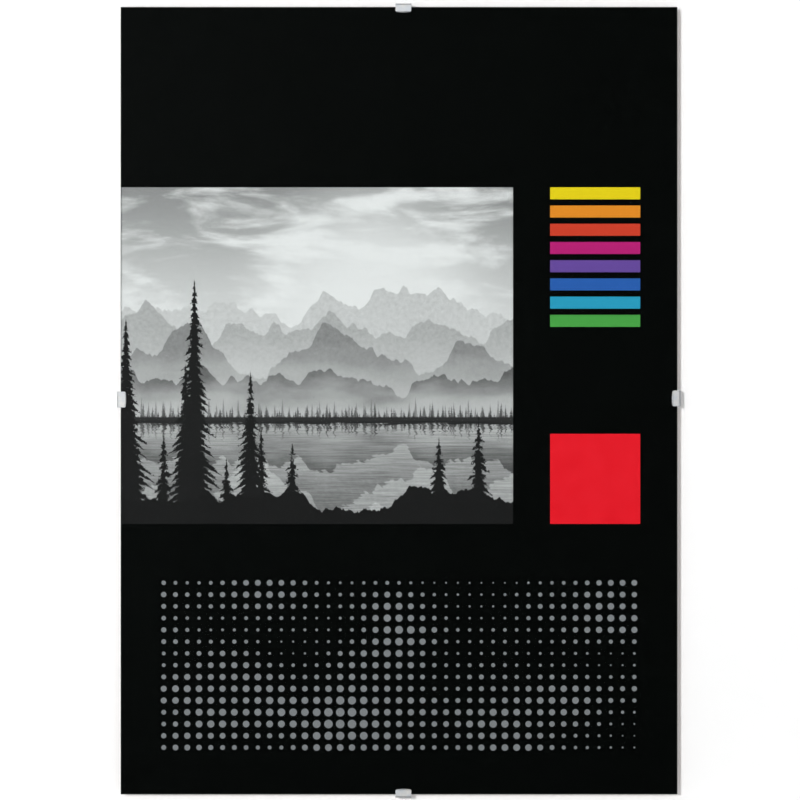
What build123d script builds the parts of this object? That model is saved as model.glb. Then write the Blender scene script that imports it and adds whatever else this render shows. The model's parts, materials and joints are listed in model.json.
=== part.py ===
from build123d import *
import os
from math import asin, atan, atan2, cos, hypot, radians, sin, sqrt, tan

# A frameless picture frame: a clear sheet, a printed card and a backing board
# of one size, held together by four steel clips that reach round the edge.
# X runs across the picture, Z up it, and Y from its front back to the wall.
# The origin is where the nail enters the top clip's hole, on the wall's face.

# Sheets, all cut to the same size
sheet_width = 420
sheet_height = 594
glazing_thick = 1.2
insert_thick = 0.25
board_thick = 3
edge_break = 0.15

# Clips, each bent from one strip of spring steel
strip_width = 12
strip_thick = 0.6
strip_edge_radius = 0.12
web_gap = 2
web_bend_radius = 0.9

# Front lip, whose tip rolls on the clear sheet
lip_reach = 4.3
lip_angle = 3
tip_angle = 60
tip_roll_radius = 1.2
tip_gap = 0.05
tip_bow = 0.6
tip_corner_radius = 1.2

# Back leg: a pad that presses on the board, a hump that rests on the wall, a foot and a finger tab
swing_gap = 0.3
pad_run = 2
pad_length = 2
pad_bend_radius = 1.5
hump_run = 3.5
hump_height = 3
hump_bend_radius = 1.2
hump_land = 1.5
foot_land = 0.8
foot_length = 1.6
tab_run = 4.5
tab_height = 1.8
tab_corner_radius = 2.5

# Hanging hole in the hump, with a narrower notch towards the edge of the picture
hole_radius = 3
notch_radius = 1.25
notch_reach = 2.9

# Tooth cut out of the leg and bent down into the board's slot
tooth_width = 6
tooth_depth = 1.6
tooth_lean = 20
tooth_bend_radius = 0.6
punch_gap = 0.15
slot_gap = 0.2
slot_slack = 0.9
slot_end_gap = 1.2

# How far each clip was pushed along its side, away from the middle
top_clip_shift = 3.3
bottom_clip_shift = 3.3
left_clip_shift = 0.8
right_clip_shift = 1.7

overrun = 20

# The clip's section, with X running in from the edge of the sheets and Y from their front to the wall
stack_thick = glazing_thick + insert_thick + board_thick
roll_x = lip_reach - tip_roll_radius * sin(radians(tip_angle))
roll_y = -(tip_roll_radius + tip_gap)
lip_root_x = roll_x - tip_roll_radius * sin(radians(lip_angle))
lip_root_y = roll_y + tip_roll_radius * cos(radians(lip_angle))
lip_rise = (lip_root_x + web_gap) * tan(radians(lip_angle))

# The clip opens about its tip roll, so the leg is a tangent to the circle that clears the board's corner
swing_radius = hypot(roll_x, stack_thick - roll_y) + swing_gap
pad_start = roll_x + sqrt(swing_radius**2 - (stack_thick - roll_y) ** 2) + pad_run
pad_reach = hypot(pad_start - roll_x, stack_thick - roll_y)
leg_slope = asin(swing_radius / pad_reach) - atan2(stack_thick - roll_y, pad_start - roll_x)
heel_height = (pad_start + web_gap) * tan(leg_slope)

pad_end = pad_start + pad_length
hump_start = pad_end + hump_run
hole_x = hump_start + hump_land + notch_reach + notch_radius
tooth_root = hole_x + hole_radius + hump_land
hump_end = tooth_root + hump_bend_radius
hump_y = stack_thick + hump_height

# The tooth leans inwards, so that it swings out past the slot's outer wall
lean = radians(tooth_lean)
tooth_corner = tooth_root + 2 * tooth_bend_radius
tooth_length = (hump_height + tooth_depth) / cos(lean)
slot_start = tooth_corner + hump_height * tan(lean) - slot_gap
slot_end = slot_start + slot_gap + tooth_depth * tan(lean) + strip_thick / cos(lean) + slot_slack
largest_shift = max(top_clip_shift, bottom_clip_shift, left_clip_shift, right_clip_shift)
slot_length = tooth_width + 2 * (largest_shift + slot_end_gap)

foot_start = slot_end + foot_land
foot_end = foot_start + foot_length
tab_end = foot_end + tab_run
leg_fall = atan(hump_height / (foot_start - hump_end))
window_end = foot_start - pad_bend_radius * tan(leg_fall / 2)

# Places in the frame
front_y = -(hump_y + strip_thick)
middle_x = -top_clip_shift
top_z = hole_x
middle_z = top_z - sheet_height / 2
bottom_z = top_z - sheet_height
left_x = middle_x - sheet_width / 2
right_x = middle_x + sheet_width / 2
front_plane = Plane(origin=(middle_x, front_y, middle_z), x_dir=(1, 0, 0), z_dir=(0, 1, 0))

# The middle of each side, with X running in from the edge and Z along it
side_planes = {
    "top": Plane(origin=(middle_x, front_y, top_z), x_dir=(0, 0, -1), z_dir=(1, 0, 0)),
    "bottom": Plane(origin=(middle_x, front_y, bottom_z), x_dir=(0, 0, 1), z_dir=(-1, 0, 0)),
    "left": Plane(origin=(left_x, front_y, middle_z), x_dir=(1, 0, 0), z_dir=(0, 0, 1)),
    "right": Plane(origin=(right_x, front_y, middle_z), x_dir=(-1, 0, 0), z_dir=(0, 0, -1)),
}
clip_planes = {
    "top": side_planes["top"].offset(top_clip_shift),
    "bottom": side_planes["bottom"].offset(-bottom_clip_shift),
    "left": side_planes["left"].offset(left_clip_shift),
    "right": side_planes["right"].offset(-right_clip_shift),
}


def seen_from_wall(side):
    """The same place turned to face the wall, with X still running in from the edge."""
    return Plane(origin=side.origin, x_dir=side.x_dir, z_dir=side.y_dir)


os.makedirs("parts", exist_ok=True)

# Clear sheet
with BuildPart() as glazing_sheet:
    with BuildSketch(front_plane):
        Rectangle(sheet_width, sheet_height)
    extrude(amount=glazing_thick)
    chamfer(glazing_sheet.edges(), length=edge_break)
glazing_sheet.part.label = "glazing_sheet"
export_step(glazing_sheet.part, "parts/glazing_sheet.step")

# Printed card
with BuildPart() as insert_sheet:
    with BuildSketch(front_plane.offset(glazing_thick)):
        Rectangle(sheet_width, sheet_height)
    extrude(amount=insert_thick)
insert_sheet.part.label = "insert_sheet"
export_step(insert_sheet.part, "parts/insert_sheet.step")

# Backing board, with a slot punched through it near the middle of each side
with BuildPart() as backing_board:
    with BuildSketch(front_plane.offset(stack_thick - board_thick)):
        Rectangle(sheet_width, sheet_height)
    extrude(amount=board_thick)
    chamfer(backing_board.edges(), length=edge_break)
    for side in side_planes.values():
        with BuildSketch(seen_from_wall(side).offset(stack_thick)):
            with Locations(((slot_start + slot_end) / 2, 0)):
                Rectangle(slot_end - slot_start, slot_length)
        extrude(amount=-board_thick, mode=Mode.SUBTRACT)
backing_board.part.label = "backing_board"
export_step(backing_board.part, "parts/backing_board.step")

# The strip's section, from the lip's tip round the edge to the finger tab
with BuildSketch() as strip_section:
    with BuildLine():
        tip_roll = CenterArc((roll_x, roll_y), tip_roll_radius, 90 - tip_angle, tip_angle + lip_angle)
        FilletPolyline(
            tip_roll @ 1,
            (-web_gap, lip_root_y - lip_rise),
            (-web_gap, stack_thick + heel_height),
            (pad_start, stack_thick),
            (pad_end, stack_thick),
            (hump_start, hump_y),
            (hump_end, hump_y),
            (foot_start, stack_thick),
            (foot_end, stack_thick),
            (tab_end, stack_thick + tab_height),
            radius=(web_bend_radius,) * 2
            + (pad_bend_radius,) * 2
            + (hump_bend_radius,) * 2
            + (pad_bend_radius,) * 2,
        )
        offset(amount=strip_thick, side=Side.LEFT)
    make_face()

# The tooth's section, from its root in the hump down into the slot
with BuildSketch() as tooth_section:
    with BuildLine():
        FilletPolyline(
            (tooth_root, hump_y),
            (tooth_corner, hump_y),
            (tooth_corner + tooth_length * sin(lean), hump_y - tooth_length * cos(lean)),
            radius=tooth_bend_radius,
        )
        offset(amount=strip_thick, side=Side.LEFT)
    make_face()

# The lip's tip seen from the front: a shallow bow with rounded corners
with BuildSketch() as tip_outline:
    with BuildLine():
        tip_edge = ThreePointArc(
            (lip_reach - tip_bow, -strip_width / 2),
            (lip_reach, 0),
            (lip_reach - tip_bow, strip_width / 2),
        )
        Polyline(
            tip_edge @ 1,
            (lip_reach - tip_bow - tip_corner_radius, strip_width / 2),
            (lip_reach - tip_bow - tip_corner_radius, -strip_width / 2),
            tip_edge @ 0,
        )
    make_face()
    fillet(tip_outline.vertices().group_by(Axis.X)[-1], radius=tip_corner_radius)
with BuildSketch() as tip_waste:
    with Locations((lip_reach - tip_bow - tip_corner_radius, 0)):
        Rectangle(overrun, strip_width + overrun, align=(Align.MIN, Align.CENTER))
    add(tip_outline.sketch, mode=Mode.SUBTRACT)

# Holes in the leg: the keyhole in the hump, and the window that the tooth was cut from
with BuildSketch() as leg_holes:
    with Locations((hole_x, 0)):
        Circle(hole_radius)
    with Locations((hole_x - notch_reach, 0)):
        Circle(notch_radius)
    with Locations((hole_x - notch_reach / 2, 0)):
        Rectangle(notch_reach, 2 * notch_radius)
    with Locations((tooth_root, 0)):
        Rectangle(
            window_end - tooth_root,
            tooth_width + 2 * punch_gap,
            align=(Align.MIN, Align.CENTER),
        )

for side_name, clip_plane in clip_planes.items():
    with BuildPart() as clip:
        with BuildSketch(clip_plane):
            add(strip_section.sketch)
        extrude(amount=strip_width / 2, both=True)
        tab_face = clip.faces().sort_by(Axis(clip_plane.origin, clip_plane.x_dir))[-1]
        fillet(tab_face.edges().sort_by(SortBy.LENGTH)[:2], radius=tab_corner_radius)
        side_faces = clip.faces().filter_by(Axis(clip_plane.origin, clip_plane.z_dir))
        fillet(side_faces.edges(), radius=strip_edge_radius)
        with BuildSketch(seen_from_wall(clip_plane)):
            add(tip_waste.sketch)
        extrude(amount=-overrun, mode=Mode.SUBTRACT)
        with BuildSketch(seen_from_wall(clip_plane).offset(stack_thick)):
            add(leg_holes.sketch)
        extrude(amount=overrun, mode=Mode.SUBTRACT)
        with BuildSketch(clip_plane):
            add(tooth_section.sketch)
        extrude(amount=tooth_width / 2, both=True)
    clip.part.label = "clip_" + side_name
    export_step(clip.part, f"parts/clip_{side_name}.step")
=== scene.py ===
import json
import math

import bmesh
import bpy
from mathutils import Matrix, Vector

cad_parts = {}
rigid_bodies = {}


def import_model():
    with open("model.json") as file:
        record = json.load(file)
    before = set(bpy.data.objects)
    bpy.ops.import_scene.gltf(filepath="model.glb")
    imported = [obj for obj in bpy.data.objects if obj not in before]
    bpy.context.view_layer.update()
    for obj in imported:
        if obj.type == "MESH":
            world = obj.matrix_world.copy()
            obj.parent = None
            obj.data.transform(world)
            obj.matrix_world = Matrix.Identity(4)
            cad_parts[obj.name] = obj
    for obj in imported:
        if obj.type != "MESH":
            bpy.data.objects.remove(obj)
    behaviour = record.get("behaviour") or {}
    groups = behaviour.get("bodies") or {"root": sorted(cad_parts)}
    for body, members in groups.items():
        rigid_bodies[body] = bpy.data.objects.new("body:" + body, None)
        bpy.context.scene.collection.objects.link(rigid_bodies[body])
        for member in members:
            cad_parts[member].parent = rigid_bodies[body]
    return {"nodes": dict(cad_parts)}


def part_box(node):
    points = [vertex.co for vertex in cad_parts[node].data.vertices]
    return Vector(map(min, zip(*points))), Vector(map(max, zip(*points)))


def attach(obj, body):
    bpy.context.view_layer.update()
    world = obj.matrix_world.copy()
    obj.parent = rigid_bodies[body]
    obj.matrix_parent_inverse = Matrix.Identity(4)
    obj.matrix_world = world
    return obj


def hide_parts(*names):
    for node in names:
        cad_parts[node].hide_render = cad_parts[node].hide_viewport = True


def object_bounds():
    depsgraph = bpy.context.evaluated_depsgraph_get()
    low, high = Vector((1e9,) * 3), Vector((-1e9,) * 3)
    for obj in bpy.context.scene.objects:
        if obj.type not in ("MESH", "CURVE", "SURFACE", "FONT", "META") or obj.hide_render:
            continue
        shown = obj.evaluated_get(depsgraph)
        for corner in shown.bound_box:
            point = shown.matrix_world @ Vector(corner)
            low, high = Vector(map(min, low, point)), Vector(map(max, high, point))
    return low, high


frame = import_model()
cad_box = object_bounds()

# Camera
# A long lens square to the clear sheet, so that no side of the frame shows.
# The sheet lands on the place that it has in the photograph.
lens_mm = 100
photo_px = 800
sheet_px = (556.7, 787.7)
sheet_centre_px = (399.05, 400.65)
sheet_low, sheet_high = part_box("glazing_sheet")
metres_per_px = (sheet_high.x - sheet_low.x + sheet_high.z - sheet_low.z) / sum(sheet_px)

camera_data = bpy.data.cameras.new("camera")
camera_data.lens = lens_mm
camera = bpy.data.objects.new("camera", camera_data)
camera.location = (
    (sheet_low.x + sheet_high.x) / 2 + (photo_px / 2 - sheet_centre_px[0]) * metres_per_px,
    sheet_low.y - photo_px * metres_per_px * camera_data.lens / camera_data.sensor_width,
    (sheet_low.z + sheet_high.z) / 2 + (sheet_centre_px[1] - photo_px / 2) * metres_per_px,
)
camera.rotation_euler = (math.pi / 2, 0, 0)
bpy.context.scene.collection.objects.link(camera)
bpy.context.scene.camera = camera
bpy.context.scene.view_settings.view_transform = "Standard"


# Light
# A white room that shiny faces see as a dark patch behind the camera, which the clear sheet
# mirrors in the main view, a bright ring round it, greyer sides and a bright back.
# A soft box stands before and behind the frame, and the front one throws the thin shadow.
room_level = 0.92
matt_level = 0.34
ring_stops = ((0.0125, 0.0), (0.04, 0.9), (0.07, 1.0), (0.13, 0.4), (0.35, 0.42), (0.7, 1.0))
soft_box_size = 0.4


def linear(hex_colour):
    """An sRGB colour written as RRGGBB, as linear red, green, blue and alpha."""
    shares = [int(hex_colour[i : i + 2], 16) / 255 for i in (0, 2, 4)]
    return (*(s / 12.92 if s <= 0.04045 else ((s + 0.055) / 1.055) ** 2.4 for s in shares), 1)


def add(tree, kind, inputs=(), **settings):
    """Adds a node with its settings, links or sets its inputs by name or number, and returns its
    outputs. A MapRange takes its value as 0, the old range as 1 and 2 and the new one as 3 and 4.
    A Mix takes its share as 0, and two numbers as 2 and 3 or two colours as 6 and 7."""
    made = tree.nodes.new("ShaderNode" + kind)
    for name, value in settings.items():
        setattr(made, name, value)
    for socket, value in dict(inputs).items():
        if isinstance(value, bpy.types.NodeSocket):
            tree.links.new(value, made.inputs[socket])
        else:
            made.inputs[socket].default_value = value
    return made.outputs


def fill_ramp(ramp, stops):
    """Gives a colour ramp its stops, each a place from 0 to 1 and a colour."""
    ramp.elements.remove(ramp.elements[1])
    for number, (place, colour) in enumerate(stops):
        stop = ramp.elements[0] if number == 0 else ramp.elements.new(place)
        stop.position = place
        stop.color = colour


studio = bpy.data.worlds.new("studio")
studio.use_nodes = True
room = studio.node_tree
room.nodes.clear()
rays = add(room, "LightPath")

# What a shiny face sees goes by how far a direction points away from the camera's side
backward = add(room, "SeparateXYZ", {0: add(room, "TexCoord")["Generated"]})["Y"]
backward = add(room, "MapRange", {0: backward, 1: -1, 2: 1})[0]
mirrored = add(room, "ValToRGB", {0: backward})[0]
ring = mirrored.node.color_ramp
ring.interpolation = "EASE"
fill_ramp(ring, [(share, (grey, grey, grey, 1)) for share, grey in ring_stops])

# The camera sees the bright room itself, and matt faces are lit by a dimmer one
turned = add(room, "Math", {0: rays["Glossy Depth"], 1: 0}, operation="GREATER_THAN")[0]
shown = add(room, "Mix", {0: turned, 2: room_level, 3: mirrored})[0]
looked = rays["Is Camera Ray"]
for kind in ("Is Glossy Ray", "Is Transmission Ray"):
    looked = add(room, "Math", {0: looked, 1: rays[kind]}, operation="MAXIMUM")[0]
looked = add(room, "Math", {0: looked, 1: rays["Diffuse Depth"]}, operation="GREATER_THAN")[0]
level = add(room, "Mix", {0: looked, 2: matt_level, 3: shown})[0]
add(room, "OutputWorld", {0: add(room, "Background", {0: linear("FFFFFF"), 1: level})[0]})
bpy.context.scene.world = studio

# Both soft boxes aim at a point of the wall's plane at the camera's height. Each has its place
# from there in metres, and its power in watts.
aim_point = Vector((0, 0, camera.location.z))
for name, place, power in (
    ("front_soft_box", (-1.35, -3.43, 0.65), 88),
    ("back_soft_box", (0.97, 3.2, 1.2), 66),
):
    box_data = bpy.data.lights.new(name, "AREA")
    box_data.shape = "SQUARE"
    box_data.size = soft_box_size
    box_data.energy = power
    soft_box = bpy.data.objects.new(name, box_data)
    soft_box.location = aim_point + Vector(place)
    aim = aim_point - soft_box.location
    soft_box.rotation_euler = aim.to_track_quat("-Z", "Y").to_euler()
    bpy.context.scene.collection.objects.link(soft_box)


# Floor and wall
# Both are plain white and fade into the room far off. The wall takes the thin shadow and is
# seen from the front alone, so that it hides nothing from behind. The floor is below the
# reach of the open bottom clip.
stage_reach = 30
floor_drop = 0.006
floor_height = cad_box[0].z - floor_drop
wall_gap = 0.0004
fade_start, fade_end = 0.9, 2.4
floor_lift, wall_lift = 0.75, 0.1


def finish(name, shade):
    """A material whose surface is the shader that a function makes in its tree."""
    material = bpy.data.materials.new(name)
    material.use_nodes = True
    material.node_tree.nodes.clear()
    add(material.node_tree, "OutputMaterial", {0: shade(material.node_tree)})
    return material


def piece(name, shape, *finishes):
    """An object in the scene from a bmesh, which is freed, and its materials in slot order."""
    mesh = bpy.data.meshes.new(name)
    shape.to_mesh(mesh)
    shape.free()
    for material in finishes:
        mesh.materials.append(material)
    made = bpy.data.objects.new(name, mesh)
    bpy.context.scene.collection.objects.link(made)
    return made


def cut(shape, point, normal, **settings):
    """Cuts a bmesh along the plane through a point and square to a normal."""
    every = shape.verts[:] + shape.edges[:] + shape.faces[:]
    bmesh.ops.bisect_plane(shape, geom=every, plane_co=point, plane_no=normal, **settings)


def white_paint(tree, lift):
    """Matt white paint, with its shade as seen lifted by a share, and lost in the room far off."""
    white = linear("FFFFFF")
    matt = add(tree, "BsdfDiffuse", {0: white})[0]
    glow = add(tree, "Emission", {0: white, 1: 1.0})[0]
    seen = add(tree, "LightPath")["Is Camera Ray"]
    lifted = add(tree, "Math", {0: seen, 1: lift}, operation="MULTIPLY")[0]
    paint = add(tree, "MixShader", {0: lifted, 1: matt, 2: glow})[0]
    distance = {0: add(tree, "TexCoord")["Object"]}
    distance = add(tree, "VectorMath", distance, operation="LENGTH")["Value"]
    faded = {0: distance, 1: fade_start, 2: fade_end}
    faded = add(tree, "MapRange", faded, interpolation_type="SMOOTHSTEP")[0]
    faded = add(tree, "Math", {0: faded, 1: seen}, operation="MULTIPLY")[0]
    distant = add(tree, "Emission", {0: white, 1: room_level})[0]
    return add(tree, "MixShader", {0: faded, 1: paint, 2: distant})[0]


def floor_paint(tree):
    """White paint, lifted until the floor shows only faint shadows."""
    return white_paint(tree, floor_lift)


def wall_paint(tree):
    """The same paint, lifted less and clear from behind."""
    back = add(tree, "NewGeometry")["Backfacing"]
    clear = add(tree, "BsdfTransparent")[0]
    return add(tree, "MixShader", {0: back, 1: white_paint(tree, wall_lift), 2: clear})[0]


ground = bmesh.new()
bmesh.ops.create_grid(ground, x_segments=1, y_segments=1, size=stage_reach)
bmesh.ops.translate(ground, vec=(0, 0, floor_height), verts=ground.verts)
floor = piece("floor", ground, finish("matt_white_floor_paint", floor_paint))
floor.visible_glossy = False
floor.visible_transmission = False

upright = bmesh.new()
bmesh.ops.create_grid(upright, x_segments=1, y_segments=1, size=stage_reach)
bmesh.ops.rotate(upright, matrix=Matrix.Rotation(math.pi / 2, 3, "X"), verts=upright.verts)
bmesh.ops.translate(upright, vec=(0, wall_gap, 0), verts=upright.verts)
cut(upright, (0, 0, floor_height), (0, 0, -1), clear_outer=True)
wall = piece("wall", upright, finish("matt_white_wall_paint", wall_paint))
wall.visible_diffuse = False
wall.visible_glossy = False
wall.visible_transmission = False
wall.visible_shadow = False


# Printed card
# Coated card behind the clear sheet, cut to the same size. Its face is offset printed:
# a near-black ground, a grey landscape, a red block, eight colour bars and a field of dots.
mm = 0.001
card_low, card_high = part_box("insert_sheet")
card_air_gap = 0.05 * mm
card_grain = 0.4 * mm
weld = 1e-7

# Each area's left, right, top and bottom, in millimetres from the card's upper left corner
picture_area = (0, 296, 136, 390)
red_area = (324, 392, 322, 390)
bars_area = (324, 392, 136, 246)
dots_area = (28, 392, 430, 563.2)
print_areas = [picture_area, red_area, bars_area, dots_area]

# The landscape's water line above its foot, and the near bank's height
water_height = 78
bank_height = 6

# The bars' inks from the top down, in the order of their hues, and the black between them as
# a share of their pitch
bar_inks = ("F2D91E", "F0932B", "D9452F", "C2257A", "6E4FA3", "2F63B5", "2FA3C7", "4FA84C")
bar_pitch = (bars_area[3] - bars_area[2]) / len(bar_inks)
bar_gap = 0.34
ground_ink = "040605"

# The dots' radii are shares of their pitch, and their swell is counted in dots
dots_across = 41
dot_pitch = (dots_area[1] - dots_area[0]) / dots_across
smallest_dot, largest_dot = 0.05, 0.36
dot_swell_size = (11, 1, 6)
dot_grey = "8A8C8F"


def counted(tree, place, size, start=(0, 0, 0)):
    """Coordinates counted in a size, one number along each axis, from a start."""
    stretch = [1 / s for s in size]
    shift = [-p / s for p, s in zip(start, size)]
    return add(tree, "Mapping", {0: place, 1: shift, 3: stretch})[0]


def on_object(tree, size, start=(0, 0, 0)):
    """Object coordinates counted in a size from a start, both in metres."""
    return counted(tree, add(tree, "TexCoord")["Object"], size, start)


def coated_card(tree, colour):
    """Coated card pressed flat on the clear sheet: deep colour with hardly a gloss of its own."""
    grain = on_object(tree, (card_grain,) * 3)
    grain = add(tree, "TexNoise", {"Vector": grain, "Scale": 1, "Detail": 2})["Fac"]
    bump = add(tree, "Bump", {"Height": grain, "Strength": 0.15, "Distance": 0.02 * mm})[0]
    skin = {"Base Color": colour, "Roughness": 0.5, "Specular IOR Level": 0.02, "Normal": bump}
    return add(tree, "BsdfPrincipled", skin | {"IOR": 1.5})[0]


def conifers(tree, across, up, ragged, spacing, low, high, seed, limb):
    """Where a row of conifers stands, 1 inside a tree and 0 outside, all sizes in millimetres.
    The seed picks the row's trees, and a limb hangs at each step of the limb's size."""
    droop, shake = 0.55, 0.35
    shortest_limb, longest_limb = 0.19 * spacing, 0.4 * spacing
    half_trunk = 0.02 * high
    soft_edge = 0.3

    # Each tree has its own height and place within its share of the row
    row = add(tree, "Math", {0: across, 1: 1 / spacing, 2: seed}, operation="MULTIPLY_ADD")[0]
    number = add(tree, "Math", {0: row}, operation="FLOOR")[0]
    chance = add(tree, "TexWhiteNoise", {"W": number}, noise_dimensions="1D")
    height = add(tree, "MapRange", {0: chance["Value"], 3: low, 4: high})[0]
    other_chance = add(tree, "SeparateColor", {0: chance["Color"]})[1]
    trunk = add(tree, "MapRange", {0: other_chance, 3: 0.38, 4: 0.62})[0]
    aside = add(tree, "Math", {0: row}, operation="FRACT")[0]
    aside = add(tree, "Math", {0: aside, 1: trunk}, operation="SUBTRACT")[0]
    east = add(tree, "Math", {0: aside, 1: 0}, operation="GREATER_THAN")[0]
    aside = add(tree, "Math", {0: aside}, operation="ABSOLUTE")[0]
    aside = add(tree, "Math", {0: aside, 1: spacing}, operation="MULTIPLY")[0]
    taper = add(tree, "Math", {0: up, 1: height}, operation="DIVIDE")[0]
    taper = add(tree, "Math", {0: 1.0, 1: taper}, operation="SUBTRACT")[0]

    # Limbs of chance lengths hang down from the trunk, each side in its own order
    hang = add(tree, "Math", {0: aside, 1: droop, 2: up}, operation="MULTIPLY_ADD")[0]
    hang = add(tree, "Math", {0: ragged, 1: shake, 2: hang}, operation="MULTIPLY_ADD")[0]
    whorl = add(tree, "Math", {0: hang, 1: 1 / limb}, operation="MULTIPLY")[0]
    whorl_number = add(tree, "Math", {0: whorl}, operation="FLOOR")[0]
    key = add(tree, "CombineXYZ", {0: number, 1: whorl_number, 2: east})[0]
    length = add(tree, "TexWhiteNoise", {"Vector": key}, noise_dimensions="3D")["Value"]
    length = add(tree, "MapRange", {0: length, 3: shortest_limb, 4: longest_limb})[0]
    gap = add(tree, "Math", {0: whorl}, operation="FRACT")[0]
    gap = add(tree, "MapRange", {0: gap, 3: 1.0, 4: 0.3})[0]
    length = add(tree, "Math", {0: length, 1: gap, 2: half_trunk}, operation="MULTIPLY_ADD")[0]

    # The tree narrows to a point, and its outline is ragged except near the tip
    narrow = add(tree, "MapRange", {0: taper, 1: 0.0, 2: 0.3, 3: 0.12, 4: 1.0})[0]
    rough = add(tree, "Math", {0: ragged, 1: narrow}, operation="MULTIPLY")[0]
    reach = add(tree, "Math", {0: taper, 1: length}, operation="MULTIPLY")[0]
    reach = add(tree, "Math", {0: reach, 1: rough}, operation="SUBTRACT")[0]
    inside = add(tree, "Math", {0: reach, 1: aside}, operation="SUBTRACT")[0]
    inside = add(tree, "MapRange", {0: inside, 1: -soft_edge, 2: soft_edge})[0]
    below_tip = add(tree, "MapRange", {0: taper, 1: 0.0, 2: 0.02})[0]
    return add(tree, "Math", {0: inside, 1: below_tip}, operation="MULTIPLY")[0]


def landscape(tree):
    """Grey tones of a sky, four misty ridges and a wooded shore over their reflection in a lake."""
    left, _, _, bottom = picture_area
    corner = (card_low.x + left * mm, 0, card_high.z + (water_height - bottom) * mm)
    place = on_object(tree, (mm,) * 3, corner)
    split = add(tree, "SeparateXYZ", {0: place})
    across, rise = split["X"], split["Z"]

    # Below the water line the view is turned over, and the swell shakes it
    swell_size, swell_reach = (24, 1, 1.5), 3.2
    wet = add(tree, "Math", {0: rise, 1: 0}, operation="LESS_THAN")[0]
    swell = counted(tree, place, swell_size)
    swell = add(tree, "TexNoise", {"Vector": swell, "Scale": 1, "Detail": 3})["Fac"]
    swell = add(tree, "MapRange", {0: swell, 3: -swell_reach, 4: swell_reach})[0]
    swell = add(tree, "Math", {0: swell, 1: wet}, operation="MULTIPLY")[0]
    up = add(tree, "Math", {0: rise}, operation="ABSOLUTE")[0]
    up = add(tree, "Math", {0: up, 1: swell}, operation="ADD")[0]
    side = add(tree, "Math", {0: across, 1: swell}, operation="ADD")[0]
    seen = add(tree, "CombineXYZ", {"X": side, "Z": up})[0]

    # Sky: pale over the ridges and darker above, with drawn-out cloud and a low glow
    sky_low, sky_high = 30, 185
    cloud_size, cloud_tone = (90, 1, 24), 0.86
    glow_place, glow_reach = (188, 0, 96), 120
    tone = {0: up, 1: sky_low, 2: sky_high, 3: 0.62, 4: 0.16}
    tone = add(tree, "MapRange", tone, interpolation_type="SMOOTHSTEP")[0]
    cloud = {"Scale": 1, "Detail": 10, "Roughness": 0.56, "Distortion": 0.35}
    cloud["Vector"] = counted(tree, seen, cloud_size)
    cloud = add(tree, "TexNoise", cloud)["Fac"]
    cloud = add(tree, "MapRange", {0: cloud, 1: 0.44, 2: 0.7}, interpolation_type="SMOOTHSTEP")[0]
    tone = add(tree, "Mix", {0: cloud, 2: tone, 3: cloud_tone})[0]
    far = add(tree, "VectorMath", {0: seen, 1: glow_place}, operation="DISTANCE")["Value"]
    glow = {0: far, 1: 0, 2: glow_reach, 3: 0.42, 4: 0}
    glow = add(tree, "MapRange", glow, interpolation_type="SMOOTHERSTEP")[0]
    tone = add(tree, "Math", {0: tone, 1: glow}, operation="ADD", use_clamp=True)[0]

    # Rock for all the ridges, and the mist at their feet
    mist_size, mist_reach = (60, 1, 25), 22
    rock = {"Vector": seen, "Scale": 0.3, "Detail": 8, "Roughness": 0.72}
    rock = add(tree, "TexNoise", rock)["Fac"]
    mist = counted(tree, seen, mist_size)
    mist = add(tree, "TexNoise", {"Vector": mist, "Scale": 1, "Detail": 4})["Fac"]
    mist = add(tree, "MapRange", {0: mist, 3: -mist_reach, 4: mist_reach})[0]
    mist = add(tree, "Math", {0: mist, 1: up}, operation="ADD")[0]

    # Ridges, the farthest first: lowest crest, the highest above it, spread and tone
    ridges = ((58, 62, 88, 0.40), (44, 50, 70, 0.27), (30, 44, 58, 0.15), (14, 34, 46, 0.07))
    for number, (base, relief, spread, grey) in enumerate(ridges):
        crest = {0: side, 1: 1 / spread, 2: 5.3 * number + 2.1}
        crest = {"W": add(tree, "Math", crest, operation="MULTIPLY_ADD")[0]}
        crest = crest | {"Scale": 1, "Detail": 9, "Roughness": 0.5}
        crest = add(tree, "TexNoise", crest, noise_dimensions="1D")["Fac"]
        crest = add(tree, "MapRange", {0: crest, 1: 0.25, 2: 0.75, 3: base, 4: base + relief})[0]
        depth = add(tree, "Math", {0: crest, 1: up}, operation="SUBTRACT")[0]
        cover = add(tree, "MapRange", {0: depth, 1: -0.35, 2: 0.35})[0]
        slope = {0: rock, 1: 0.25, 2: 0.75, 3: grey * 0.72, 4: grey * 1.3}
        slope = add(tree, "MapRange", slope)[0]
        haze = {0: mist, 1: 4, 2: base + relief * 0.75, 3: 0.85, 4: 0}
        haze = add(tree, "MapRange", haze, interpolation_type="SMOOTHSTEP")[0]
        slope = add(tree, "Mix", {0: haze, 2: slope, 3: grey * 0.5 + 0.36})[0]
        tone = add(tree, "Mix", {0: cover, 2: tone, 3: slope})[0]

    # Wooded far shore: each row's spacing, lowest and highest tree, seed and tone
    far_limb, shore_tone = 1.7, 0.018
    ragged = add(tree, "TexNoise", {"Vector": seen, "Scale": 0.9, "Detail": 3})["Fac"]
    ragged = add(tree, "MapRange", {0: ragged, 3: -0.8, 4: 0.8})[0]
    for spacing, low, high, seed, grey in (
        (5.6, 8, 18, 3.7, 0.13),
        (7.3, 6, 15, 11.2, 0.075),
        (4.3, 3, 12, 17.9, 0.04),
        (3.1, 3, 7, 23.4, 0.022),
    ):
        cover = conifers(tree, side, up, ragged, spacing, low, high, seed, far_limb)
        tone = add(tree, "Mix", {0: cover, 2: tone, 3: grey})[0]
    shore = add(tree, "MapRange", {0: up, 1: 3.2, 2: 2.2})[0]
    tone = add(tree, "Mix", {0: shore, 2: tone, 3: shore_tone})[0]

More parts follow.
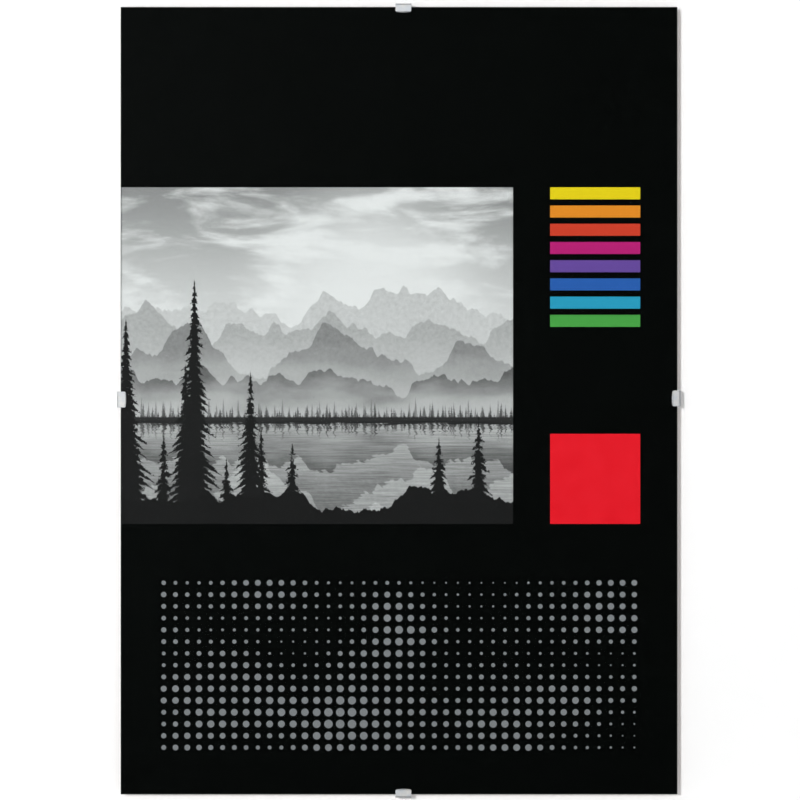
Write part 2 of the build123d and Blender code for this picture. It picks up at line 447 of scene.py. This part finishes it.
    # Lake: a little darker than what it mirrors, with bright streaks
    glint_size = (30, 1, 0.9)
    glint = {"Scale": 1, "Detail": 4, "Roughness": 0.6}
    glint["Vector"] = counted(tree, place, glint_size)
    glint = add(tree, "TexNoise", glint)["Fac"]
    glint = add(tree, "MapRange", {0: glint, 1: 0.3, 2: 0.7, 3: 0.5, 4: 1.02})[0]
    lake = add(tree, "Math", {0: tone, 1: glint}, operation="MULTIPLY")[0]
    tone = add(tree, "Mix", {0: wet, 2: tone, 3: lake})[0]

    # Near bank, almost black, and rows of tall conifers, each between two places across
    near_limb, near_tone = 5.2, 0.008
    bank_wave, bank_seed, bank_tone = 70, 31.0, 0.007
    over_bank = add(tree, "Math", {0: rise, 1: water_height - bank_height}, operation="ADD")[0]
    rough = {"Vector": place, "Scale": 0.34, "Detail": 4, "Roughness": 0.8}
    rough = add(tree, "TexNoise", rough)["Fac"]
    rough = add(tree, "MapRange", {0: rough, 1: 0.2, 2: 0.8, 3: -3.6, 4: 3.6})[0]
    for spacing, low, high, seed, start, end in (
        (58, 150, 205, 4.5, 0, 88),
        (43, 90, 130, 7.3, 0, 120),
        (24, 40, 75, 9.1, 0, 142),
        (30, 60, 112, 12.45, 228, 288),
    ):
        cover = conifers(tree, across, over_bank, rough, spacing, low, high, seed, near_limb)
        for place_across, side_of_it in ((start, "GREATER_THAN"), (end, "LESS_THAN")):
            within = add(tree, "Math", {0: across, 1: place_across}, operation=side_of_it)[0]
            cover = add(tree, "Math", {0: cover, 1: within}, operation="MULTIPLY")[0]
        tone = add(tree, "Mix", {0: cover, 2: tone, 3: near_tone})[0]
    bank = {0: across, 1: 1 / bank_wave, 2: bank_seed}
    bank = add(tree, "Math", bank, operation="MULTIPLY_ADD")[0]
    bank = {"W": bank, "Scale": 1, "Detail": 10, "Roughness": 0.6}
    bank = add(tree, "TexNoise", bank, noise_dimensions="1D")["Fac"]
    bank = add(tree, "MapRange", {0: bank, 1: 0.3, 2: 0.7, 3: 2, 4: 26})[0]
    bank = add(tree, "Math", {0: bank, 1: over_bank}, operation="SUBTRACT")[0]
    bank = add(tree, "MapRange", {0: bank, 1: -0.3, 2: 0.3})[0]
    tone = add(tree, "Mix", {0: bank, 2: tone, 3: bank_tone})[0]

    # Printed pale: the middle greys are lifted, the lightest is near the card's white, and the
    # halftone leaves a fine grain
    paleness, lightest, grain_scale = 2.3, 0.9, 1.1
    tone = add(tree, "Math", {0: 1.0, 1: tone}, operation="SUBTRACT", use_clamp=True)[0]
    tone = add(tree, "Math", {0: tone, 1: paleness}, operation="POWER")[0]
    tone = add(tree, "MapRange", {0: tone, 3: lightest, 4: 0.0})[0]
    grain = add(tree, "TexNoise", {"Vector": place, "Scale": grain_scale, "Detail": 1})["Fac"]
    grain = add(tree, "MapRange", {0: grain, 3: 0.93, 4: 1.07})[0]
    return coated_card(tree, add(tree, "Math", {0: tone, 1: grain}, operation="MULTIPLY")[0])


def mottled(tree, dark, light, size):
    """A colour laid a little unevenly, between two hex colours in patches of a size in metres."""
    patch = {"Vector": on_object(tree, (size,) * 3), "Scale": 1, "Detail": 4}
    patch = add(tree, "TexNoise", patch)["Fac"]
    patch = add(tree, "MapRange", {0: patch, 1: 0.3, 2: 0.7})[0]
    return add(tree, "Mix", {0: patch, 6: linear(dark), 7: linear(light)}, data_type="RGBA")[2]


def black_ink(tree):
    """A solid near-black, printed heavily so that it shows no card through."""
    return coated_card(tree, mottled(tree, "030504", "060807", 9 * mm))


def red_ink(tree):
    """A solid warm red."""
    return coated_card(tree, mottled(tree, "F41C2A", "FA2230", 12 * mm))


def bare_card(tree):
    """The card's own white, on its cut edges and its uncoated back."""
    return coated_card(tree, mottled(tree, "E9E7E0", "F5F4EF", 1.5 * mm))


def colour_bars(tree):
    """Eight flat inks in short bars, the first one uppermost, and the black ground between them."""
    place = on_object(tree, (bar_pitch * mm,) * 3, (0, 0, card_high.z - bars_area[3] * mm))
    count = add(tree, "SeparateXYZ", {0: place})["Z"]
    share = add(tree, "Math", {0: count, 1: 1 / len(bar_inks)}, operation="MULTIPLY")[0]
    ink = add(tree, "ValToRGB", {0: share})[0]
    band = ink.node.color_ramp
    band.interpolation = "CONSTANT"
    upwards = enumerate(reversed(bar_inks))
    fill_ramp(band, [(number / len(bar_inks), linear(colour)) for number, colour in upwards])
    inside = add(tree, "Math", {0: count}, operation="FRACT")[0]
    inside = add(tree, "Math", {0: inside, 1: bar_gap}, operation="GREATER_THAN")[0]
    ink = add(tree, "Mix", {0: inside, 6: linear(ground_ink), 7: ink}, data_type="RGBA")[2]
    return coated_card(tree, ink)


def grey_dots(tree):
    """Rows of grey dots that swell and shrink in slow waves, as in an enlarged halftone screen."""
    left, _, _, bottom = dots_area
    corner = (card_low.x + left * mm, 0, card_high.z - bottom * mm)
    place = on_object(tree, (dot_pitch * mm,) * 3, corner)
    cell = add(tree, "VectorMath", {0: place}, operation="FLOOR")[0]
    swell = counted(tree, cell, dot_swell_size)
    swell = add(tree, "TexNoise", {"Vector": swell, "Scale": 1, "Detail": 1})["Fac"]
    swell = {0: swell, 1: 0.28, 2: 0.72, 3: smallest_dot, 4: largest_dot}
    swell = add(tree, "MapRange", swell)[0]
    aside = add(tree, "VectorMath", {0: place, 1: cell}, operation="SUBTRACT")[0]
    aside = add(tree, "VectorMath", {0: aside, 1: (0.5, 0, 0.5)}, operation="SUBTRACT")[0]
    aside = add(tree, "VectorMath", {0: aside, 1: (1, 0, 1)}, operation="MULTIPLY")[0]
    aside = add(tree, "VectorMath", {0: aside}, operation="LENGTH")["Value"]
    aside = add(tree, "Math", {0: aside, 1: swell}, operation="SUBTRACT")[0]
    ink = add(tree, "MapRange", {0: aside, 1: 0.015, 2: -0.015})[0]
    ink = {0: ink, 6: linear(ground_ink), 7: linear(dot_grey)}
    ink = add(tree, "Mix", ink, data_type="RGBA")[2]
    return coated_card(tree, ink)


card = bmesh.new()
bmesh.ops.create_cube(card, size=1)
card_size = card_high - card_low - Vector((0, card_air_gap, 0))
bmesh.ops.scale(card, vec=card_size, verts=card.verts)
card_middle = (card_low + card_high) / 2 + Vector((0, card_air_gap / 2, 0))
bmesh.ops.translate(card, vec=card_middle, verts=card.verts)
for left, right, top, bottom in print_areas:
    for across in (left, right):
        cut(card, (card_low.x + across * mm, 0, 0), (1, 0, 0), dist=weld)
    for down in (top, bottom):
        cut(card, (0, 0, card_high.z - down * mm), (0, 0, 1), dist=weld)
bmesh.ops.recalc_face_normals(card, faces=card.faces)

# A printed area's faces take its own material, the rest of the front black, all others bare card
for face in card.faces:
    middle = face.calc_center_median()
    across, down = (middle.x - card_low.x) / mm, (card_high.z - middle.z) / mm
    face.material_index = len(print_areas) + 1
    if face.normal.y < -0.5:
        inside = [l < across < r and t < down < b for l, r, t, b in print_areas]
        face.material_index = inside.index(True) if any(inside) else len(print_areas)
printed_card = piece(
    "printed_card",
    card,
    finish("grey_offset_picture", landscape),
    finish("red_offset_ink", red_ink),
    finish("eight_colour_offset_inks", colour_bars),
    finish("grey_offset_dots", grey_dots),
    finish("near_black_offset_ink", black_ink),
    finish("white_uncoated_card", bare_card),
)
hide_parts("insert_sheet")
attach(printed_card, "root")


# Clear sheet
# Clear extruded polystyrene, thin enough to bend, sawn to size. Its faces are glossy and
# its sawn edges are left as cut, so that they look grey and matt beside the faces.
wiping_size = 55 * mm
face_wave_size = 160 * mm
saw_mark_size = (0.7 * mm, 6 * mm, 0.7 * mm)
styrene_ior = 1.59


def cut_sheet(node, name, face_finish, edge_finish):
    """A copy of a sheet's solid, with one finish on its two faces and another round its edges."""
    shape = bmesh.new()
    shape.from_mesh(frame["nodes"][node].data)
    bmesh.ops.remove_doubles(shape, verts=shape.verts, dist=1e-6)
    for face in shape.faces:
        face.smooth = False
        face.material_index = 0 if abs(face.normal.y) > 0.9 else 1
    sheet = piece(name, shape, face_finish, edge_finish)
    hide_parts(node)
    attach(sheet, "root")
    return sheet


def clear_styrene(tree):
    """Clear polystyrene: glossy, with a trace of haze from wiping and a slow wave in its face."""
    wiped = on_object(tree, (wiping_size,) * 3)
    wiped = add(tree, "TexNoise", {"Vector": wiped, "Scale": 1, "Detail": 5})["Fac"]
    haze = add(tree, "MapRange", {0: wiped, 1: 0.35, 2: 0.75, 3: 0.008, 4: 0.03})[0]
    slow = on_object(tree, (face_wave_size,) * 3)
    slow = add(tree, "TexNoise", {"Vector": slow, "Scale": 1, "Detail": 1})["Fac"]
    bump = add(tree, "Bump", {"Height": slow, "Strength": 0.5, "Distance": 0.15 * mm})[0]
    skin = {"Base Color": linear("FBFEFD"), "Roughness": haze, "IOR": styrene_ior, "Normal": bump}
    glass = add(tree, "BsdfPrincipled", skin | {"Transmission Weight": 1.0})[0]

    # Light on its way to the card passes straight through, be it from a lamp or from the room
    clear = add(tree, "BsdfTransparent", {0: linear("F9FAFA")})[0]
    rays = add(tree, "LightPath")
    glass = add(tree, "MixShader", {0: rays["Is Shadow Ray"], 1: glass, 2: clear})[0]
    return add(tree, "MixShader", {0: rays["Is Diffuse Ray"], 1: glass, 2: clear})[0]


def sawn_styrene(tree):
    """Polystyrene as the saw leaves it: grey and matt, with fine marks across the edge."""
    marks = {"Vector": on_object(tree, saw_mark_size), "Scale": 1, "Detail": 5, "Roughness": 0.7}
    marks = add(tree, "TexNoise", marks)["Fac"]
    tint = {0: marks, 6: linear("6F7977"), 7: linear("A9B2B0")}
    tint = add(tree, "Mix", tint, data_type="RGBA")[2]
    gloss = add(tree, "MapRange", {0: marks, 1: 0.3, 2: 0.7, 3: 0.3, 4: 0.6})[0]
    bump = add(tree, "Bump", {"Height": marks, "Strength": 0.5, "Distance": 0.05 * mm})[0]
    skin = {"Base Color": tint, "Roughness": gloss, "IOR": styrene_ior, "Normal": bump}
    return add(tree, "BsdfPrincipled", skin)[0]


clear_sheet = cut_sheet(
    "glazing_sheet",
    "clear_sheet",
    finish("clear_glossy_styrene", clear_styrene),
    finish("sawn_styrene_edge", sawn_styrene),
)

# The soft boxes light all but this sheet, which would mirror them as hard white squares
unlit = bpy.data.collections.new("not_lit_by_soft_boxes")
unlit.objects.link(clear_sheet)
unlit.collection_objects[0].light_linking.link_state = "EXCLUDE"
for soft_box in (o for o in bpy.context.scene.objects if o.type == "LIGHT"):
    soft_box.light_linking.receiver_collection = unlit


# Backing board
# Standard hardboard, pressed wet on a wire screen that leaves its weave on the back,
# then sawn to size and punched with a slot for each clip's tooth.
screen_pitch = 2.6 * mm
fibre_size = (7 * mm, mm, 2.2 * mm)
patch_size = 110 * mm
fleck_size, fleck_start = (4.5 * mm, mm, 1.6 * mm), (0.3, 0, 0.2)
layer_size = (5 * mm, 0.35 * mm, 5 * mm)


def screened_hardboard(tree):
    """Hardboard's screen side: brown pressed fibre, matt, with the wire's dimples, darkened by
    painted shade, and dark flecks.
    The weave and the fibres are about twice as coarse as the real ones, so that they show."""
    fibre = {"Scale": 1, "Detail": 6, "Roughness": 0.7, "Distortion": 1.2}
    fibre["Vector"] = on_object(tree, fibre_size)
    fibre = add(tree, "TexNoise", fibre)["Fac"]
    tone = add(tree, "MapRange", {0: fibre, 1: 0.3, 2: 0.72})[0]
    brown = {0: tone, 6: linear("543620"), 7: linear("98724A")}
    brown = add(tree, "Mix", brown, data_type="RGBA")[2]
    patch = on_object(tree, (patch_size,) * 3)
    patch = {"Vector": patch, "Scale": 1, "Detail": 5, "Roughness": 0.6}
    patch = add(tree, "TexNoise", patch)["Fac"]
    tone = add(tree, "MapRange", {0: patch, 1: 0.35, 2: 0.65, 3: 0.0, 4: 0.6})[0]
    brown = add(tree, "Mix", {0: tone, 6: brown, 7: linear("6A452A")}, data_type="RGBA")[2]
    fleck = {"Scale": 1, "Detail": 2, "Roughness": 0.5}
    fleck["Vector"] = on_object(tree, fleck_size, fleck_start)
    fleck = add(tree, "TexNoise", fleck)["Fac"]
    fleck = add(tree, "MapRange", {0: fleck, 1: 0.68, 2: 0.76, 3: 0.0, 4: 0.75})[0]
    brown = add(tree, "Mix", {0: fleck, 6: brown, 7: linear("2E1C10")}, data_type="RGBA")[2]

    # The wires run both ways, and at this scale a wave is about one pitch long
    wires = []
    for way in ("X", "Z"):
        wire = {"Scale": 1 / math.pi, "Distortion": 0.3, "Detail": 1}
        wire["Vector"] = on_object(tree, (screen_pitch,) * 3)
        wires.append(add(tree, "TexWave", wire, bands_direction=way)["Fac"])
    # Each dimple is a bump and also painted shade: its colour is darkened there towards a deep
    # brown
    dimple_depth_and_painted_shade = add(tree, "Math", {0: wires[0], 1: wires[1]}, operation="MULTIPLY")[0]
    tone = add(tree, "MapRange", {0: dimple_depth_and_painted_shade, 3: 0.0, 4: 0.5})[0]
    brown = add(tree, "Mix", {0: tone, 6: brown, 7: linear("3E281A")}, data_type="RGBA")[2]
    height = add(tree, "Math", {0: dimple_depth_and_painted_shade, 1: -1.0, 2: fibre}, operation="MULTIPLY_ADD")[0]
    bump = add(tree, "Bump", {"Height": height, "Strength": 0.8, "Distance": 0.35 * mm})[0]
    gloss = add(tree, "MapRange", {0: fibre, 3: 0.58, 4: 0.85})[0]
    return add(tree, "BsdfPrincipled", {"Base Color": brown, "Roughness": gloss, "Normal": bump})[0]


def sawn_hardboard(tree):
    """Hardboard's sawn edge: darker, furred fibre in thin layers along the board."""
    layers = {"Vector": on_object(tree, layer_size), "Scale": 1, "Detail": 6, "Roughness": 0.7}
    layers = add(tree, "TexNoise", layers)["Fac"]
    tone = add(tree, "MapRange", {0: layers, 1: 0.3, 2: 0.7})[0]
    fibre = {0: tone, 6: linear("4B3220"), 7: linear("8A6743")}
    fibre = add(tree, "Mix", fibre, data_type="RGBA")[2]
    bump = add(tree, "Bump", {"Height": layers, "Strength": 0.7, "Distance": 0.15 * mm})[0]
    return add(tree, "BsdfPrincipled", {"Base Color": fibre, "Roughness": 0.88, "Normal": bump})[0]


hardboard = cut_sheet(
    "backing_board",
    "hardboard_back",
    finish("screened_brown_hardboard", screened_hardboard),
    finish("sawn_hardboard_edge", sawn_hardboard),
)


# Clips
# Each is one strip of spring steel, cold rolled, pierced and bent in a press, then zinc
# plated. It reaches round the sheets and its tooth drops into the board's slot.
line_width, line_length = 0.4 * mm, 14 * mm
cloud_size = 5 * mm
speck_size = 0.8 * mm


def zinc_plated_steel(tree, line_size):
    """Spring steel under clear-passivated zinc: satin and pale, with roll lines, cool and warm
    clouds and dull rubbed specks. The roll lines are drawn coarse enough to show."""
    lines = {"Vector": on_object(tree, line_size), "Scale": 1, "Detail": 4, "Roughness": 0.65}
    lines = add(tree, "TexNoise", lines)["Fac"]
    cloud = on_object(tree, (cloud_size,) * 3)
    cloud = add(tree, "TexNoise", {"Vector": cloud, "Scale": 1, "Detail": 3})["Fac"]
    tone = add(tree, "MapRange", {0: cloud, 1: 0.35, 2: 0.65})[0]
    zinc = {0: tone, 6: linear("B4B9BE"), 7: linear("C4C3C0")}
    zinc = add(tree, "Mix", zinc, data_type="RGBA")[2]
    tone = add(tree, "MapRange", {0: lines, 1: 0.35, 2: 0.65, 3: 0.3, 4: 0.0})[0]
    zinc = add(tree, "Mix", {0: tone, 6: zinc, 7: linear("8E9296")}, data_type="RGBA")[2]
    specks = on_object(tree, (speck_size,) * 3)
    specks = add(tree, "TexNoise", {"Vector": specks, "Scale": 1, "Detail": 2})["Fac"]
    specks = add(tree, "MapRange", {0: specks, 1: 0.66, 2: 0.74, 3: 0.0, 4: 0.5})[0]
    zinc = add(tree, "Mix", {0: specks, 6: zinc, 7: linear("85888A")}, data_type="RGBA")[2]
    gloss = add(tree, "MapRange", {0: lines, 1: 0.3, 2: 0.7, 3: 0.5, 4: 0.64})[0]
    bump = add(tree, "Bump", {"Height": lines, "Strength": 0.35, "Distance": 0.02 * mm})[0]
    skin = {"Base Color": zinc, "Metallic": 1.0, "Roughness": gloss, "Normal": bump}
    return add(tree, "BsdfPrincipled", skin)[0]


def upright_steel(tree):
    """The steel of the top and bottom clips, rolled along Z."""
    return zinc_plated_steel(tree, (line_width, line_length, line_length))


def level_steel(tree):
    """The steel of the side clips, rolled along X."""
    return zinc_plated_steel(tree, (line_length, line_length, line_width))


upright_zinc = finish("zinc_plated_steel_upright", upright_steel)
level_zinc = finish("zinc_plated_steel_level", level_steel)
for node, zinc in (
    ("clip_top", upright_zinc),
    ("clip_bottom", upright_zinc),
    ("clip_left", level_zinc),
    ("clip_right", level_zinc),
):
    frame["nodes"][node].material_slots[0].material = zinc
